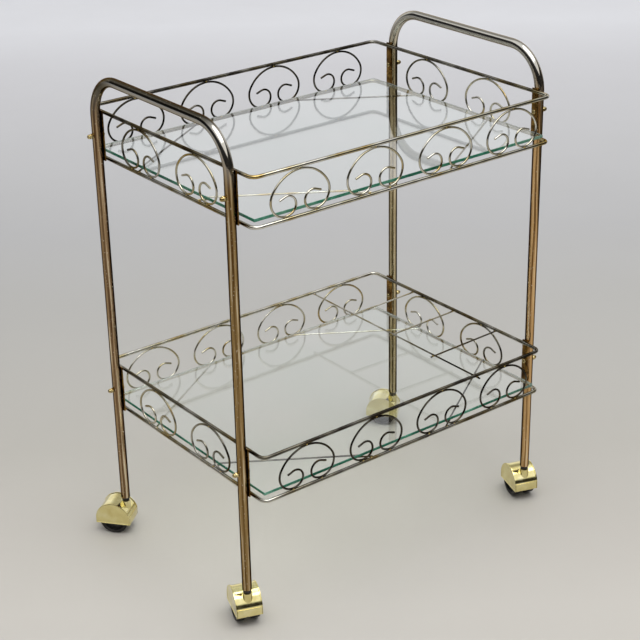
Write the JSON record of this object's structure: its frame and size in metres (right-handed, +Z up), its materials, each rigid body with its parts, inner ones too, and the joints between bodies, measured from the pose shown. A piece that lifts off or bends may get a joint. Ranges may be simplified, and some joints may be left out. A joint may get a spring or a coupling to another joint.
{
  "type": "dessert trolley",
  "caption": "Two-tier dessert trolley with tube end frames whose tops are push handles, glass trays with scrollwork galleries, a bottle rack and hooded twin-wheel casters.",
  "frame": {"origin": "on the floor under the middle of the trolley, where the trays' centre lines cross", "axes": "+Z up, +X along the trolley towards the bottle rack's end, +Y across it to the back"},
  "size_m": [0.7149, 0.4743, 0.856],
  "materials": {
    "tube_brass": "aged, brushed by wear",
    "wire_brass": "aged satin",
    "plate_brass": "aged satin",
    "hood_brass": "polished",
    "steel": "satin",
    "glass": "clear, green edges",
    "black_plastic": "matte",
    "wheel_rubber": "satin"
  },
  "bodies": {
    "trolley": {"left_frame": "tube_brass", "right_frame": "tube_brass", "upper_top_rail": "wire_brass", "upper_bottom_rail": "wire_brass", "upper_scrolls_front": "wire_brass", "upper_scrolls_back": "wire_brass", "upper_scrolls_left": "wire_brass", "upper_scrolls_right": "wire_brass", "upper_support_wires": "wire_brass", "upper_corner_plates": "plate_brass", "upper_glass": "glass", "upper_bolts": "steel", "upper_dome_nuts": "steel", "lower_top_rail": "wire_brass", "lower_bottom_rail": "wire_brass", "lower_scrolls_front": "wire_brass", "lower_scrolls_back": "wire_brass", "lower_scrolls_left": "wire_brass", "lower_scrolls_right": "wire_brass", "lower_support_wires": "wire_brass", "lower_corner_plates": "plate_brass", "lower_glass": "glass", "lower_bolts": "steel", "lower_dome_nuts": "steel", "bottle_rack_crossbar": "wire_brass", "bottle_rack_dividers": "wire_brass", "front_left_sleeve": "black_plastic", "back_left_sleeve": "black_plastic", "front_right_sleeve": "black_plastic", "back_right_sleeve": "black_plastic"},
    "front_left_caster": {"front_left_hood": "hood_brass", "front_left_stem": "steel", "front_left_retaining_ring": "steel", "front_left_axle": "steel"},
    "front_left_wheel_a": {"front_left_wheel_a": "wheel_rubber"},
    "front_left_wheel_b": {"front_left_wheel_b": "wheel_rubber"},
    "back_left_caster": {"back_left_hood": "hood_brass", "back_left_stem": "steel", "back_left_retaining_ring": "steel", "back_left_axle": "steel"},
    "back_left_wheel_a": {"back_left_wheel_a": "wheel_rubber"},
    "back_left_wheel_b": {"back_left_wheel_b": "wheel_rubber"},
    "front_right_caster": {"front_right_hood": "hood_brass", "front_right_stem": "steel", "front_right_retaining_ring": "steel", "front_right_axle": "steel"},
    "front_right_wheel_a": {"front_right_wheel_a": "wheel_rubber"},
    "front_right_wheel_b": {"front_right_wheel_b": "wheel_rubber"},
    "back_right_caster": {"back_right_hood": "hood_brass", "back_right_stem": "steel", "back_right_retaining_ring": "steel", "back_right_axle": "steel"},
    "back_right_wheel_a": {"back_right_wheel_a": "wheel_rubber"},
    "back_right_wheel_b": {"back_right_wheel_b": "wheel_rubber"}
  },
  "joints": [
    {"name": "front_left_swivel", "type": "hinge", "parent": "trolley", "child": "front_left_caster", "pos_m": [-0.3137, -0.1875, 0.06], "axis": [0, 0, 1], "continuous": true},
    {"name": "front_left_wheel_a_roll", "type": "hinge", "parent": "front_left_caster", "child": "front_left_wheel_a", "pos_m": [-0.31932, -0.16523, 0.026], "axis": [0.9397, -0.342, 0], "continuous": true},
    {"name": "front_left_wheel_b_roll", "type": "hinge", "parent": "front_left_caster", "child": "front_left_wheel_b", "pos_m": [-0.29508, -0.17406, 0.026], "axis": [0.9397, -0.342, 0], "continuous": true},
    {"name": "back_left_swivel", "type": "hinge", "parent": "trolley", "child": "back_left_caster", "pos_m": [-0.3137, 0.1875, 0.06], "axis": [0, 0, 1], "continuous": true},
    {"name": "back_left_wheel_a_roll", "type": "hinge", "parent": "back_left_caster", "child": "back_left_wheel_a", "pos_m": [-0.33568, 0.19415, 0.026], "axis": [0.7771, 0.6293, 0], "continuous": true},
    {"name": "back_left_wheel_b_roll", "type": "hinge", "parent": "back_left_caster", "child": "back_left_wheel_b", "pos_m": [-0.31563, 0.21038, 0.026], "axis": [0.7771, 0.6293, 0], "continuous": true},
    {"name": "front_right_swivel", "type": "hinge", "parent": "trolley", "child": "front_right_caster", "pos_m": [0.3137, -0.1875, 0.06], "axis": [0, 0, 1], "continuous": true},
    {"name": "front_right_wheel_a_roll", "type": "hinge", "parent": "front_right_caster", "child": "front_right_wheel_a", "pos_m": [0.30769, -0.16534, 0.026], "axis": [0.9455, -0.3256, 0], "continuous": true},
    {"name": "front_right_wheel_b_roll", "type": "hinge", "parent": "front_right_caster", "child": "front_right_wheel_b", "pos_m": [0.33208, -0.17374, 0.026], "axis": [0.9455, -0.3256, 0], "continuous": true},
    {"name": "back_right_swivel", "type": "hinge", "parent": "trolley", "child": "back_right_caster", "pos_m": [0.3137, 0.1875, 0.06], "axis": [0, 0, 1], "continuous": true},
    {"name": "back_right_wheel_a_roll", "type": "hinge", "parent": "back_right_caster", "child": "back_right_wheel_a", "pos_m": [0.2914, 0.19299, 0.026], "axis": [0.7431, 0.6691, 0], "continuous": true},
    {"name": "back_right_wheel_b_roll", "type": "hinge", "parent": "back_right_caster", "child": "back_right_wheel_b", "pos_m": [0.31057, 0.21025, 0.026], "axis": [0.7431, 0.6691, 0], "continuous": true}
  ]
}
